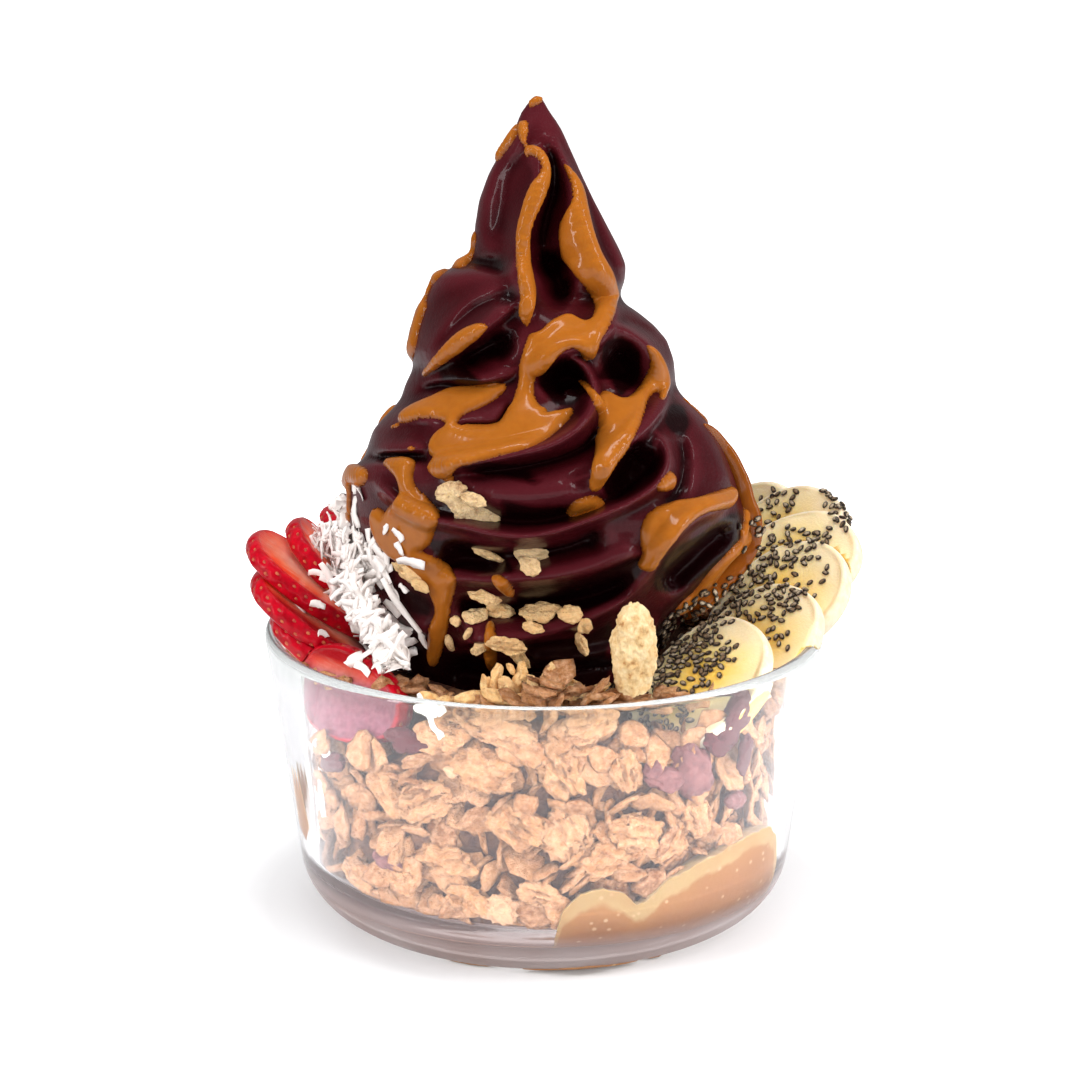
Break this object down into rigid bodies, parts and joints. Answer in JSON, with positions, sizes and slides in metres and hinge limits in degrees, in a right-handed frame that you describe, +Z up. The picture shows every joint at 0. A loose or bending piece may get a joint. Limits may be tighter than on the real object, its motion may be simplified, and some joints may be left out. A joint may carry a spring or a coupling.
{
  "type": "acai cup",
  "caption": "Clear glass bowl of granola topped with a tall piped acai swirl, nut sauce, fanned strawberry and banana slices and shredded coconut.",
  "frame": {"origin": "middle of the bowl's flat foot, on the table", "axes": "+Z up; -Y towards the side the picture shows, +X to that view's right"},
  "size_m": [0.1391, 0.1258, 0.1823],
  "materials": {
    "clear_glass": "smooth clear glass",
    "granola": "dry toasted oat flakes in clusters",
    "peanut_sauce": "wet glossy sauce",
    "acai": "frozen acai with a damp sheen",
    "coconut": "dry shredded coconut",
    "strawberry": "moist cut fruit with seeded skin",
    "banana": "moist cut fruit",
    "oat_cluster": "dry baked oats"
  },
  "bodies": {
    "root": {"glass_bowl": "clear_glass", "granola_bed": "granola", "sauce_pool": "peanut_sauce", "acai_swirl": "acai", "coconut_heap": "coconut", "strawberry_slice_1": "strawberry", "strawberry_slice_2": "strawberry", "strawberry_slice_3": "strawberry", "strawberry_slice_4": "strawberry", "strawberry_slice_5": "strawberry", "strawberry_slice_6": "strawberry", "banana_slice_1": "banana", "banana_slice_2": "banana", "banana_slice_3": "banana", "banana_slice_4": "banana", "banana_slice_5": "banana", "banana_slice_6": "banana", "oat_cluster": "oat_cluster"}
  },
  "joints": []
}
